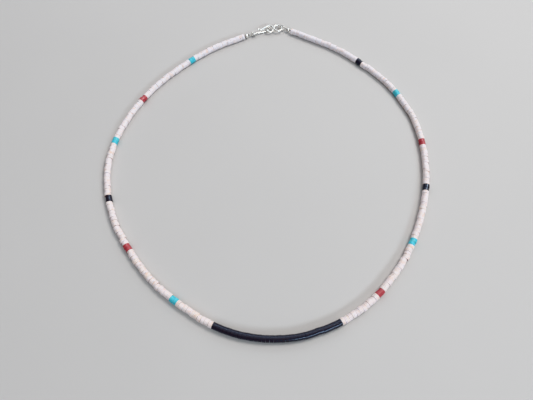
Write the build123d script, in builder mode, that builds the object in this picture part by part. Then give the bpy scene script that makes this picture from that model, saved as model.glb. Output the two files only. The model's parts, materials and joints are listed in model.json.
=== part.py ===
"""Heishi bead necklace lying on a flat surface, in millimetres, +Z up.

A string of thin drilled discs runs on a beading wire from a hook, round the neck
opening, to a figure-eight eye. The hook is fastened in the eye, so the necklace is one
closed loop. The front of the loop is at -Y and the clasp is at +Y.
"""

import os
from math import asin, atan, cos, hypot, pi, radians, sin, tan
from typing import NamedTuple

from build123d import *

# Beads
bead_diameter = 2.8
bead_bore = 0.95
bead_edge = 0.12  # chamfer on the rim of each disc
bead_gap = 0.17  # clearance between the faces of two discs
white_thickness = 1.43
centre_thickness = 1.28
accent_thickness = 1.38
accent_count = 2  # discs at each coloured place
centre_length = 50.0  # black run at the front
bead_slip = 0.22  # most that a disc sits to one side of the wire

# Beading wire
wire_diameter = 0.35
strand_offset = 0.3  # each of the two strands from the middle of an end ball
wire_clearance = 0.08  # round the strands in the ball

# Clasp
silver_wire = 0.9  # wire of the hook and of the eye
fit_gap = 0.1  # clearance between silver pieces that hang in each other
ball_left_diameter = 2.3
ball_right_diameter = 2.0
gap_left = 0.3  # bare wire between the left ball and the first disc
gap_right = 0.8  # bare wire between the last disc and the right ball
guard_diameter = 0.6  # coiled sleeve round each end loop of the beading wire
guard_bore = 0.46
clasp_height = 1.32  # axis of the balls and end loops over the surface
shank_height = 0.47  # axis of the hook's shank where the eye lies on it
left_reach = 3.1  # middle of the left ball to the near wire of the hook's own eye
right_reach = 3.75  # middle of the right ball to the end of the figure-eight eye
hook_length = 8.35  # middle of the hook's own eye to the far end of its bend
hook_gap = 2.3  # between the middles of the hook's two legs
hook_throat = 1.2  # the same where the free leg comes nearest the shank
hook_flare = 0.65  # how far the tip turns out again from there
hook_straight = 1.45  # far end of the bend to where the free leg starts to close
hook_close = 4.25  # the same to the throat
hook_tip = 5.8  # the same to the tip
hook_eye_radius = 0.95  # to the middle of its wire
eye_left_loop = 3.6  # from the crossing to the middle of the end's wire
eye_right_loop = 4.2
eye_width = 5.2  # outside, across either loop
eye_crossing = 1.1  # half the width of the crossing at the loops' full height
eye_lift = 0.22  # how far one wire passes over, and the other under, at the crossing
eye_roundness = 0.58  # arcs at a loop's corners, as a share of its straight length

# Shares that keep neighbouring arcs of one path apart
bend_share = 0.98  # of half a bend's width, for each of the two arcs that make the bend
run_share = 0.45  # of a straight run, for the arc at either end of it

# Directions of the clasp's pieces seen from above, in degrees from +X, and how far
# their planes are rolled up from the surface
left_loop_heading = 24.0
hook_heading = 20.5
hook_roll = 68.0
eye_heading = 8.0
right_loop_heading = -24.0
right_loop_roll = -65.0

# Hand-chosen route of the string, from the left ball down the left side, round the
# front and up the right side to the last turn before the right ball
string_route = [
    (-10.7, 74.1),
    (-27.6, 65.8),
    (-41.9, 54.2),
    (-54.3, 41.2),
    (-63.7, 25.8),
    (-69.2, 10.8),
    (-71.0, -3.8),
    (-68.6, -18.2),
    (-63.8, -31.3),
    (-54.3, -45.7),
    (-45.4, -56.1),
    (-34.1, -65.0),
    (-22.5, -72.2),
    (-12.2, -76.2),
    (-1.3, -78.0),
    (11.9, -77.5),
    (25.4, -73.0),
    (35.1, -67.6),
    (43.5, -60.8),
    (55.3, -47.0),
    (63.5, -30.9),
    (69.0, -13.7),
    (70.6, 4.3),
    (69.3, 18.3),
    (65.3, 30.7),
    (58.8, 42.7),
    (49.1, 53.5),
    (35.7, 65.2),
    (20.7, 73.1),
]


class Stretch(NamedTuple):
    """A run of white discs, as a share of all the white, and what comes after it."""

    white: float
    after: str


string_pattern = [
    Stretch(29.0, "turquoise"),
    Stretch(29.4, "red"),
    Stretch(22.9, "turquoise"),
    Stretch(26.6, "black"),
    Stretch(21.6, "red"),
    Stretch(26.6, "turquoise"),
    Stretch(16.4, "centre"),
    Stretch(17.7, "red"),
    Stretch(23.0, "turquoise"),
    Stretch(23.5, "black"),
    Stretch(20.2, "red"),
    Stretch(26.3, "turquoise"),
    Stretch(22.6, "black"),
    Stretch(38.2, "end"),
]

# How the hand-cut discs differ from each other, taken in turn along the string: shares
# of the nominal thickness and diameter, and of bead_slip to either side
centre_play = 0.3  # the black discs at the front differ by only this share of it
thickness_play = (0.88, 1.09, 0.97, 1.14, 0.91, 1.05, 0.96)
diameter_play = (1.0, 0.97, 1.01, 0.98, 1.02)
slip_play = (0.06, -0.35, 0.18, 0.55, -0.12, 0.3, -0.6, 0.0, 0.4, -0.24, 0.12)


class Jog(NamedTuple):
    """Discs that stand out to one side: from and to in percent of the string, and how far
    as a share of bead_slip, where more than 0 is towards the neck opening."""

    start: float
    end: float
    side: float


string_jogs = [
    Jog(27.2, 28.1, 0.9),
    Jog(28.8, 29.4, 0.8),
    Jog(31.9, 32.3, 1.0),
    Jog(32.3, 32.7, -0.9),
    Jog(38.1, 38.5, -1.0),
    Jog(53.3, 53.9, 0.4),
    Jog(63.8, 64.2, 0.9),
    Jog(64.2, 64.9, -0.8),
    Jog(80.6, 81.7, -0.8),
    Jog(81.7, 82.5, 0.5),
    Jog(82.5, 83.9, 0.9),
    Jog(88.4, 89.2, -0.7),
    Jog(89.2, 90.4, 1.0),
]


def direction(heading):
    """Unit vector along the surface at a heading in degrees from +X."""
    return Vector(cos(radians(heading)), sin(radians(heading)), 0)


def leaning_plane(origin, along, roll):
    """Plane whose X runs along a direction, rolled up about it from the surface."""
    along = along.normalized()
    side = Vector(0, 0, 1).cross(along).normalized()
    level = along.cross(side)
    return Plane(
        origin=origin,
        x_dir=along,
        z_dir=level * cos(radians(roll)) - side * sin(radians(roll)),
    )


def gentle_radii(points):
    """Largest arcs that a route's corners have room for, one for each inner point."""
    radii = []
    for before, here, after in zip(points, points[1:], points[2:]):
        run_in, run_out = Vector(here) - Vector(before), Vector(after) - Vector(here)
        half_turn = radians(run_in.get_angle(run_out)) / 2
        radii.append(run_share * min(run_in.length, run_out.length) / tan(half_turn))
    return radii


# Clasp layout, worked out from the left ball towards the right one
bead_radius = bead_diameter / 2
wire_reach = silver_wire / 2 + fit_gap + guard_diameter / 2

left_ball = Vector(*string_route[0], clasp_height)
left_axis = direction(left_loop_heading)
left_plane = leaning_plane(left_ball, left_axis, hook_roll)

bend_radius = hook_gap / 2
shank_reach = hook_eye_radius + hook_length - bend_radius
slope = asin((clasp_height - shank_height) / shank_reach)
hook_axis = direction(hook_heading) * cos(slope) - Vector(0, 0, sin(slope))
hook_middle = left_ball + left_axis * left_reach + hook_axis * hook_eye_radius
hook_plane = leaning_plane(hook_middle, hook_axis, hook_roll)

eye_start = hook_plane.from_local_coords(Vector(hook_length - bend_radius, bend_radius, 0))
eye_slope = asin((eye_start.Z - clasp_height) / (eye_left_loop + eye_right_loop))
eye_axis = direction(eye_heading) * cos(eye_slope) - Vector(0, 0, sin(eye_slope))
eye_plane = leaning_plane(eye_start + eye_axis * eye_left_loop, eye_axis, 0)
eye_end = eye_start + eye_axis * (eye_left_loop + eye_right_loop)

right_axis = direction(right_loop_heading)
right_ball = eye_end + right_axis * right_reach
right_plane = leaning_plane(right_ball, -right_axis, right_loop_roll)

# The eye's wire passes slanting through the right loop, which is that much wider
slant = abs(right_plane.z_dir.dot(eye_plane.y_dir))
left_bend = wire_reach
right_bend = wire_reach / slant


def loop_points(leave, reach, bend):
    """Corners of one side of an end loop in its own plane, from the ball to the far end:
    where the strand leaves the ball, where two sleeves have room side by side, the end."""
    ahead = reach - leave
    lean = asin(bend / hypot(ahead, strand_offset)) - atan(strand_offset / ahead)
    room = (guard_diameter + fit_gap) / 2 - strand_offset
    sleeve = leave + max(fit_gap, room / tan(lean))
    return [
        (x, strand_offset + (x - leave) * tan(lean)) for x in (leave, sleeve, reach + bend)
    ]


def end_loop(plane, diameter, reach, bend):
    """Corners of the wire in an end loop, from its tail in the ball and back into it."""
    leave, _, far = loop_points(diameter / 2, reach, bend)
    side = [(0, strand_offset), leave, far]
    corners = [(x, -y) for x, y in side] + side[::-1]
    return [plane.from_local_coords(Vector(x, y, 0)) for x, y in corners]


left_loop = end_loop(left_plane, ball_left_diameter, left_reach, left_bend)
right_loop = end_loop(right_plane, ball_right_diameter, right_reach, right_bend)

# String: the route at the height where the discs rest on the surface
route = [left_ball]
route += [Vector(x, y, bead_radius) for x, y in string_route[1:]]
route += [right_ball]
route_radii = gentle_radii(route)

with BuildLine() as string_line:
    FilletPolyline(*route, radius=route_radii)
string_path = string_line.wire()


class Bead(NamedTuple):
    """One disc: its colour, its middle along the string and its thickness."""

    colour: str
    middle: float
    thickness: float


def run_of_beads(colour, start, length, thickness, play=(1.0,)):
    """Discs that fill a length of the string, each as thick as its turn in the play."""
    count = max(1, round(length / (thickness + bead_gap)))
    shares = [play[i % len(play)] for i in range(count)]
    beads = []
    for share in shares:
        pitch = length * share / sum(shares)
        beads.append(Bead(colour, start + pitch / 2, pitch - bead_gap))
        start += pitch
    return beads


def lay_out_string():
    """All the discs in order from the left ball, in white runs, accents and the centre."""
    start = ball_left_diameter / 2 + gap_left
    end = string_path.length - ball_right_diameter / 2 - gap_right
    accent_length = accent_count * (accent_thickness + bead_gap)
    accents = [s for s in string_pattern if s.after not in ("centre", "end")]
    white_length = end - start - centre_length - len(accents) * accent_length
    white_sum = sum(s.white for s in string_pattern)
    beads = []
    for stretch in string_pattern:
        length = white_length * stretch.white / white_sum
        beads += run_of_beads("white", start, length, white_thickness, thickness_play)
        start += length
        if stretch.after == "centre":
            beads += run_of_beads("centre", start, centre_length, centre_thickness)
            start += centre_length
        elif stretch.after != "end":
            beads += run_of_beads(stretch.after, start, accent_length, accent_thickness)
            start += accent_length
    return beads


def disc(bead, turn):
    """A drilled disc on the string, resting on the surface, eased on both rims."""
    play = centre_play if bead.colour == "centre" else 1
    across = bead_diameter * (1 + play * (diameter_play[turn % len(diameter_play)] - 1))
    along = string_path.tangent_at(bead.middle, position_mode=PositionMode.LENGTH)
    along = Vector(along.X, along.Y, 0).normalized()
    side = Vector(0, 0, 1).cross(along)
    place = string_path.position_at(bead.middle, position_mode=PositionMode.LENGTH)
    place = Vector(place.X, place.Y, across / 2)
    percent = 100 * bead.middle / string_path.length
    jogs = [jog.side for jog in string_jogs if jog.start <= percent < jog.end]
    slip = jogs[0] if jogs else play * slip_play[turn % len(slip_play)]
    place += side * (bead_slip * slip)
    with BuildPart() as solid:
        with BuildSketch(Plane(origin=place, x_dir=along, z_dir=side)) as wall:
            with Locations((0, bead_bore / 2)):
                Rectangle(
                    bead.thickness,
                    (across - bead_bore) / 2,
                    align=(Align.CENTER, Align.MIN),
                )
            chamfer(wall.vertices().group_by(Axis.Y)[-1], length=bead_edge)
        revolve(axis=Axis(place, along))
    return solid


string_beads = lay_out_string()
discs = [disc(bead, turn) for turn, bead in enumerate(string_beads)]
centre_turns = [i for i, bead in enumerate(string_beads) if bead.colour == "centre"]

white_turns = [i for i, bead in enumerate(string_beads) if bead.colour == "white"]

with BuildPart() as white_beads_left:
    add([discs[i].part for i in white_turns if i < centre_turns[0]])

with BuildPart() as white_beads_right:
    add([discs[i].part for i in white_turns if i > centre_turns[0]])

with BuildPart() as black_centre_beads:
    add([discs[i].part for i in centre_turns])

# Beading wire: tail in the left ball, end loop, the whole string, end loop, tail
left_exit = string_path @ ((ball_left_diameter + gap_left) / 2 / string_path.length)
right_exit = string_path @ (1 - (ball_right_diameter + gap_right) / 2 / string_path.length)
wire_points = left_loop + [left_exit] + route[1:-1] + [right_exit] + right_loop
wire_radii = gentle_radii(wire_points)
wire_radii[1] = wire_radii[2] = bend_share * left_bend
wire_radii[-2] = wire_radii[-3] = bend_share * right_bend

with BuildPart() as beading_wire:
    with BuildLine() as wire_line:
        FilletPolyline(*wire_points, radius=wire_radii)
    with BuildSketch(Plane(origin=wire_line.line @ 0, z_dir=wire_line.line % 0)):
        Circle(wire_diameter / 2)
    sweep()


def end_ball(plane, diameter):
    """A round bead drilled wide enough for the two strands of its end loop."""
    bore = 2 * (strand_offset + wire_clearance) + wire_diameter
    with BuildPart() as ball:
        with BuildSketch(plane):
            Circle(diameter / 2)
            with Locations((0, bore / 2)):
                Rectangle(diameter, diameter, align=(Align.CENTER, Align.MAX), mode=Mode.SUBTRACT)
        revolve(axis=Axis(plane.origin, plane.x_dir))
    return ball


def loop_guard(plane, diameter, reach, bend):
    """A thin sleeve round an end loop, from close to the ball and back to it."""
    _, start, far = loop_points(diameter / 2, reach, bend)
    corners = [(x, -y) for x, y in (start, far)] + [far, start]
    with BuildPart() as guard:
        with BuildLine(plane) as loop:
            FilletPolyline(*corners, radius=[bend_share * bend] * 2)
        with BuildSketch(Plane(origin=loop.line @ 0, z_dir=loop.line % 0)):
            Circle(guard_diameter / 2)
            Circle(guard_bore / 2, mode=Mode.SUBTRACT)
        sweep()
    return guard


end_ball_left = end_ball(left_plane, ball_left_diameter)
end_ball_right = end_ball(right_plane, ball_right_diameter)
loop_guard_left = loop_guard(left_plane, ball_left_diameter, left_reach, left_bend)
loop_guard_right = loop_guard(right_plane, ball_right_diameter, right_reach, right_bend)

with BuildPart() as hook:
    with BuildLine(hook_plane) as hook_line:
        FilletPolyline(
            (hook_eye_radius, 0),
            (hook_length, 0),
            (hook_length, hook_gap),
            (hook_length - hook_straight, hook_gap),
            (hook_length - hook_close, hook_throat),
            (hook_length - hook_tip, hook_throat + hook_flare),
            radius=[bend_share * bend_radius] * 2 + [silver_wire] * 2,
        )
    with BuildSketch(Plane(origin=hook_line.line @ 0, z_dir=hook_line.line % 0)):
        Circle(silver_wire / 2)
    sweep()
    with Locations(hook_line.line @ 1):
        Sphere(silver_wire / 2)
    with Locations(Plane(origin=hook_middle, z_dir=hook_plane.y_dir).location):
        Torus(hook_eye_radius, silver_wire / 2)


def eye_strand(side):
    """Half of the figure-eight eye's wire, from one end to the other past the crossing."""
    height = side * (eye_width - silver_wire) / 2
    lift = side * eye_lift
    arc_left = eye_roundness * (eye_left_loop - eye_crossing)
    arc_right = eye_roundness * (eye_right_loop - eye_crossing)
    corners = [
        (-eye_left_loop, 0, 0),
        (-eye_left_loop, height, 0),
        (-eye_crossing, height, lift),
        (eye_crossing, -height, lift),
        (eye_right_loop, -height, 0),
        (eye_right_loop, 0, 0),
    ]
    return corners, [arc_left, arc_left, arc_right, arc_right]


with BuildPart() as figure_eight_eye:
    for side in (1, -1):
        points, radii = eye_strand(side)
        with BuildLine(eye_plane) as strand:
            FilletPolyline(*points, radius=radii)
        with BuildSketch(Plane(origin=strand.line @ 0, z_dir=strand.line % 0)):
            Circle(silver_wire / 2)
        sweep(path=strand.line)

pieces = {
    "white_beads_left": white_beads_left,
    "white_beads_right": white_beads_right,
    "black_centre_beads": black_centre_beads,
    "beading_wire": beading_wire,
    "end_ball_left": end_ball_left,
    "end_ball_right": end_ball_right,
    "loop_guard_left": loop_guard_left,
    "loop_guard_right": loop_guard_right,
    "hook": hook,
    "figure_eight_eye": figure_eight_eye,
}
for colour in ("turquoise", "red", "black"):
    turns = [i for i, bead in enumerate(string_beads) if bead.colour == colour]
    for number, i in enumerate(turns, 1):
        pieces[f"{colour}_bead_{number}"] = discs[i]

# The origin is on the surface, under the middle of the whole necklace
box = Compound([piece.part for piece in pieces.values()]).bounding_box()
to_origin = Location((-box.center().X, -box.center().Y, 0))

os.makedirs("parts", exist_ok=True)
for name, piece in pieces.items():
    piece.part.label = name
    piece.part.move(to_origin)
    export_step(piece.part, f"parts/{name}.step")

wire_length = wire_line.wire().length
colours = [bead.colour for bead in string_beads]
print("box", box.size, "lowest", box.min.Z, "middle", box.center())
print("string", string_path.length, "wire", wire_length)
print("discs", {colour: colours.count(colour) for colour in dict.fromkeys(colours)})
print("wire volume", beading_wire.part.volume, "expected", wire_length * pi * wire_diameter**2 / 4)
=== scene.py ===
"""Looks of the heishi bead necklace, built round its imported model, in metres and +Z up.

Each disc of the model is replaced by a finely made bead at the same place, divided by
shallow grooves into thin layers, and the clasp's wires, balls and coils by smooth ones.
Sizes in the classes are in millimetres and angles in degrees, and the studio's in metres.
"""

import json
import logging
import math
from dataclasses import dataclass, field
from enum import Enum
from typing import Any, Iterable, Sequence

import bpy
import numpy as np
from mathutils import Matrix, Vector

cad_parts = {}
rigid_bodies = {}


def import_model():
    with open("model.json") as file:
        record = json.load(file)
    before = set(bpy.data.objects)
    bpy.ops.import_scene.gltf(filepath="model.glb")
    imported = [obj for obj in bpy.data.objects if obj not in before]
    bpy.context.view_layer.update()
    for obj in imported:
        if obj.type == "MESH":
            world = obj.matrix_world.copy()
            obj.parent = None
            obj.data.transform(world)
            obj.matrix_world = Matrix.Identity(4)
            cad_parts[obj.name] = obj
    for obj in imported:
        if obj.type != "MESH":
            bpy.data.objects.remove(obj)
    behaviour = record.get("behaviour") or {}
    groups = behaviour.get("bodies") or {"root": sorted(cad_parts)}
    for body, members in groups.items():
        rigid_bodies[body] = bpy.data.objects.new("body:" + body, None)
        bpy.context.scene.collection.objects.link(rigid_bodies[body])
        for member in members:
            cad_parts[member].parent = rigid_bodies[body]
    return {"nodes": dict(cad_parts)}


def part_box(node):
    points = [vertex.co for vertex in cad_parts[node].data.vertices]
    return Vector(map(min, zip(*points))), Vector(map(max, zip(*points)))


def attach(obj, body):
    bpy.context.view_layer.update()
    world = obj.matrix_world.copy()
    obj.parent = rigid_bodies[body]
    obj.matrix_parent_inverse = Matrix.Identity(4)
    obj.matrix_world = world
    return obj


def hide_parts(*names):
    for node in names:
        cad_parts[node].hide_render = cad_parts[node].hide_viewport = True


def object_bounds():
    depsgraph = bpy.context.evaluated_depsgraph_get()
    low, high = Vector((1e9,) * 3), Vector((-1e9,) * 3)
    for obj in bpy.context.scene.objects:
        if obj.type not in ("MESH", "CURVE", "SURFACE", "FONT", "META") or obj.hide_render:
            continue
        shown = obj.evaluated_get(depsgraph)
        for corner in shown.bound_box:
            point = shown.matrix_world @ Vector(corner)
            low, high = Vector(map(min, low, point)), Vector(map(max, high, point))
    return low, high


for leftover in list(bpy.data.objects):
    bpy.data.objects.remove(leftover)
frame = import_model()
cad_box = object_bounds()

MM = 0.001
UP = np.array([0.0, 0.0, 1.0])

Colour = tuple[float, float, float]
Point = tuple[float, float, float]
Pair = tuple[float, float]

log = logging.getLogger("necklace")


def srgb(red: int, green: int, blue: int) -> Colour:
    """Return a linear colour from the 0 to 255 values that a screen shows."""
    parts = [value / 255 for value in (red, green, blue)]
    return tuple(p / 12.92 if p <= 0.04045 else ((p + 0.055) / 1.055) ** 2.4 for p in parts)


def unit(vector: np.ndarray) -> np.ndarray:
    """Return the vector at length one."""
    return vector / np.linalg.norm(vector)


def full_turn(steps: int) -> np.ndarray:
    """Return angles in radians, evenly spaced round a circle."""
    return np.linspace(0, 2 * math.pi, steps, endpoint=False)


def add_object(name: str, data: bpy.types.ID) -> bpy.types.Object:
    """Put a new object into the scene.

    Args:
        name: the object's name.
        data: its mesh, lamp or camera.

    Returns:
        The object.
    """
    added = bpy.data.objects.new(name, data)
    bpy.context.scene.collection.objects.link(added)
    return added


# Shader trees


@dataclass
class Signal:
    """An output of a shader tree, on which arithmetic can be written."""

    tree: "ShaderTree"
    socket: bpy.types.NodeSocket

    def _math(self, operation: str, first: Any, second: Any) -> "Signal":
        """Return the result of one Math node."""
        settings = {"operation": operation}
        return self.tree.node("ShaderNodeMath", settings, {0: first, 1: second})["Value"]

    def __add__(self, other: Any) -> "Signal":
        """Return the sum with another value."""
        return self._math("ADD", self, other)

    def __radd__(self, other: Any) -> "Signal":
        """Return the sum with a value on the left."""
        return self._math("ADD", other, self)

    def __sub__(self, other: Any) -> "Signal":
        """Return the difference from another value."""
        return self._math("SUBTRACT", self, other)

    def __rsub__(self, other: Any) -> "Signal":
        """Return a value on the left less this one."""
        return self._math("SUBTRACT", other, self)

    def __mul__(self, other: Any) -> "Signal":
        """Return the product with another value."""
        return self._math("MULTIPLY", self, other)

    def __rmul__(self, other: Any) -> "Signal":
        """Return the product with a value on the left."""
        return self._math("MULTIPLY", other, self)

    def ramp(self, low: float, high: float) -> "Signal":
        """Return 0 below low and 1 above high, with a smooth rise between them.

        Args:
            low: value where the rise starts.
            high: value where the rise ends.

        Returns:
            The eased signal.
        """
        settings = {"interpolation_type": "SMOOTHSTEP"}
        inputs = {"Value": self, "From Min": low, "From Max": high}
        return self.tree.node("ShaderNodeMapRange", settings, inputs)["Result"]


@dataclass
class NodeOutputs:
    """The outputs of one shader node, looked up by name or by number."""

    tree: "ShaderTree"
    node: bpy.types.Node

    def __getitem__(self, key: str | int) -> Signal:
        """Return one output."""
        return Signal(self.tree, self.node.outputs[key])


class Blend(Enum):
    """Ways of blending a second colour into a first."""

    MIX = "MIX"
    MULTIPLY = "MULTIPLY"


class ShaderTree:
    """A material's node tree, with one method that adds any node."""

    def __init__(self, name: str) -> None:
        """Start an empty material.

        Args:
            name: the material's name.
        """
        self.material = bpy.data.materials.new(name)
        self.material.use_nodes = True
        self.nodes = self.material.node_tree.nodes
        self.nodes.clear()

    def node(
        self,
        kind: str,
        settings: dict[str, Any] | None = None,
        inputs: dict[str | int, Any] | None = None,
    ) -> NodeOutputs:
        """Add a node, choose its options, then fill or link its sockets.

        Args:
            kind: Blender's name for the node's type.
            settings: options of the node.
            inputs: a value or a Signal for each socket, by name or by number.

        Returns:
            The node's outputs.
        """
        node = self.nodes.new(kind)
        for key, value in (settings or {}).items():
            setattr(node, key, value)
        for key, value in (inputs or {}).items():
            socket = node.inputs[key]
            if isinstance(value, Signal):
                self.material.node_tree.links.new(value.socket, socket)
            elif socket.type == "RGBA":
                socket.default_value = (*value[:3], 1.0)
            else:
                socket.default_value = value
        return NodeOutputs(self, node)

    def attribute(self, name: str, output: str = "Fac") -> Signal:
        """Return a value stored on the mesh."""
        return self.node("ShaderNodeAttribute", {"attribute_name": name})[output]

    def bead_values(self) -> tuple[Signal, Signal, Signal]:
        """Return a bead's grain coordinates, its warmth and how near a seam is."""
        return self.attribute("grain", "Vector"), self.attribute("warmth"), self.attribute("seam")

    def mix(self, share: Any, first: Any, second: Any, blend: Blend = Blend.MIX) -> Signal:
        """Return a first colour into which a share of a second is blended."""
        settings = {"data_type": "RGBA", "blend_type": blend.value}
        return self.node("ShaderNodeMix", settings, {0: share, 6: first, 7: second})[2]

    def vector(self, operation: str, first: Any, second: Any) -> Signal:
        """Return the vector result of one Vector Math node."""
        settings = {"operation": operation}
        return self.node("ShaderNodeVectorMath", settings, {0: first, 1: second})["Vector"]

    def noise(self, place: Signal, scale: float, detail: float = 2.0, rough: float = 0.5) -> Signal:
        """Return noise round 0.5 of a scale in features per millimetre, with finer layers."""
        inputs = {"Vector": place, "Scale": scale, "Detail": detail, "Roughness": rough}
        return self.node("ShaderNodeTexNoise", {}, inputs)["Fac"]

    def fine(self, place: Signal, scale: float) -> Signal:
        """Return a fine, rather rough noise."""
        return self.noise(place, scale, detail=3.0, rough=0.6)

    def place_mm(self) -> Signal:
        """Return the piece's own coordinates in millimetres."""
        place = self.node("ShaderNodeTexCoord")["Object"]
        return self.vector("MULTIPLY", place, (1 / MM, 1 / MM, 1 / MM))

    def bump(self, height: Signal, depth: float) -> Signal:
        """Return a normal bent by a relief whose height of 1 is a depth in millimetres."""
        inputs = {"Height": height, "Distance": depth * MM, "Strength": 1.0}
        return self.node("ShaderNodeBump", {}, inputs)["Normal"]

    def finish(self, inputs: dict[str, Any]) -> bpy.types.Material:
        """Close the tree with a Principled shader.

        Args:
            inputs: values or Signals for the shader's sockets.

        Returns:
            The finished material.
        """
        shader = self.node("ShaderNodeBsdfPrincipled", {}, inputs)["BSDF"]
        self.node("ShaderNodeOutputMaterial", {}, {"Surface": shader})
        return self.material


@dataclass(frozen=True)
class Patches:
    """Patches with soft edges: where a noise rises from low to high."""

    scale: float
    low: float
    high: float
    detail: float = 2.0
    rough: float = 0.5

    def on(self, tree: ShaderTree, place: Signal) -> Signal:
        """Return how much of a patch lies at each place, from 0 to 1."""
        return tree.noise(place, self.scale, self.detail, self.rough).ramp(self.low, self.high)


class Run(Enum):
    """Which way bands follow each other."""

    ALONG_X = "X"
    SLANTED = "DIAGONAL"


@dataclass(frozen=True)
class Bands:
    """Wavy bands, about 3 a millimetre at a scale of 1."""

    scale: float
    bend: float
    bend_scale: float = 1.0
    run: Run = Run.ALONG_X

    def on(self, tree: ShaderTree, place: Signal) -> Signal:
        """Lay the bands.

        Args:
            tree: the material's nodes.
            place: coordinates in millimetres.

        Returns:
            The bands at each place, from 0 to 1.
        """
        inputs = {"Vector": place, "Scale": self.scale, "Distortion": self.bend}
        inputs["Detail Scale"] = self.bend_scale
        return tree.node("ShaderNodeTexWave", {"bands_direction": self.run.value}, inputs)["Fac"]


# Finishes: strengths are shares from 0 to 1, reliefs are depths in millimetres


@dataclass(frozen=True)
class ShellFinish:
    """Ground off-white shell, with growth layers, rosy and cool beads and small specks; the cool
    tint is mostly a painted bluish light that grows towards the clasp.
    """

    white: Colour = srgb(239, 228, 230)
    cream: Colour = srgb(240, 227, 216)
    peach: Colour = srgb(237, 207, 190)
    cool: Colour = srgb(240, 236, 241)
    speck: Colour = srgb(134, 106, 92)
    dust: Colour = srgb(158, 136, 128)
    clouds: Patches = Patches(0.9, 0.48, 0.7, detail=3.0)
    cloud_strength: float = 0.25
    warm_cloud_strength: float = 0.8
    growth: Bands = Bands(1.7, 2.2, bend_scale=1.4)
    growth_strength: float = 0.1
    flecks: Patches = Patches(1.7, 0.63, 0.74, rough=0.6)
    fleck_strength: float = 0.6
    wear: Patches = Patches(0.5, 0.42, 0.66)
    seam_strength: float = 0.36
    worn_seam_strength: float = 1.2
    chip_strength: float = 0.45
    fine_scale: float = 9.0
    roughness: float = 0.5
    fine_roughness: float = 0.16
    seam_roughness: float = 0.1
    relief: float = 0.012
    growth_relief: float = 0.35
    fine_relief: float = 0.5
    fleck_relief: float = 0.6
    glow: float = 0.12
    glow_depth: float = 0.35
    glow_colours: Colour = (1.0, 0.8, 0.65)

    def material(self) -> bpy.types.Material:
        """Build the shell's shader.

        Returns:
            The material.
        """
        tree = ShaderTree("shell_white")
        grain, warm, seam = tree.bead_values()
        base = tree.mix(warm, self.white, self.cream)
        # painted bluish light: cooler towards the clasp, with a little of each layer's own tone
        base = tree.mix(tree.attribute("painted_cool_light_and_tone"), base, self.cool)
        rosy = warm * self.warm_cloud_strength + self.cloud_strength
        base = tree.mix(self.clouds.on(tree, grain) * rosy, base, self.peach)
        growth = self.growth.on(tree, grain)
        base = tree.mix((1 - growth) * self.growth_strength, base, self.peach, Blend.MULTIPLY)
        flecks = self.flecks.on(tree, grain)
        base = tree.mix(flecks * self.fleck_strength, base, self.speck)
        dirty = self.wear.on(tree, grain) * self.worn_seam_strength + self.seam_strength
        base = tree.mix(seam * dirty, base, self.dust, Blend.MULTIPLY)
        base = tree.mix(tree.attribute("chip") * self.chip_strength, base, self.dust)

        fine = tree.fine(grain, self.fine_scale)
        height = growth * self.growth_relief + fine * self.fine_relief
        return tree.finish({
            "Base Color": base,
            "Roughness": self.roughness + fine * self.fine_roughness + seam * self.seam_roughness,
            "Normal": tree.bump(height - flecks * self.fleck_relief, self.relief),
            "Subsurface Weight": self.glow,
            "Subsurface Radius": self.glow_colours,
            "Subsurface Scale": self.glow_depth * MM,
        })


@dataclass(frozen=True)
class DarkShellFinish:
    """Polished black shell with faint brown layers and a soft gloss."""

    black: Colour = srgb(56, 48, 50)
    brown: Colour = srgb(68, 52, 48)
    dust: Colour = srgb(72, 66, 66)
    gloss: Colour = srgb(200, 226, 255)
    gloss_level: float = 0.75
    streak_squeeze: Point = (3.0, 0.7, 0.7)
    streak_scale: float = 1.1
    streak_range: Pair = (0.5, 0.75)
    streak_strength: float = 0.2
    warm_streak_strength: float = 0.7
    seam_strength: float = 0.12
    fine_scale: float = 8.0
    roughness: float = 0.17
    fine_roughness: float = 0.12
    seam_roughness: float = 0.08
    relief: float = 0.004
    streak_relief: float = 0.5

    def material(self) -> bpy.types.Material:
        """Build the dark shell's shader.

        Returns:
            The material.
        """
        tree = ShaderTree("shell_black")
        grain, warm, seam = tree.bead_values()
        squeezed = tree.vector("MULTIPLY", grain, self.streak_squeeze)
        streak = tree.noise(squeezed, self.streak_scale, detail=3.0)
        brown = warm * self.warm_streak_strength + self.streak_strength
        base = tree.mix(streak.ramp(*self.streak_range) * brown, self.black, self.brown)
        fine = tree.fine(grain, self.fine_scale)
        uneven = (fine - 0.5) * self.fine_roughness
        return tree.finish({
            "Base Color": tree.mix(seam * self.seam_strength, base, self.dust),
            "Roughness": self.roughness + uneven + seam * self.seam_roughness,
            "Normal": tree.bump(fine + streak * self.streak_relief, self.relief),
            "Specular IOR Level": self.gloss_level,
            "Specular Tint": self.gloss,
        })


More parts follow.
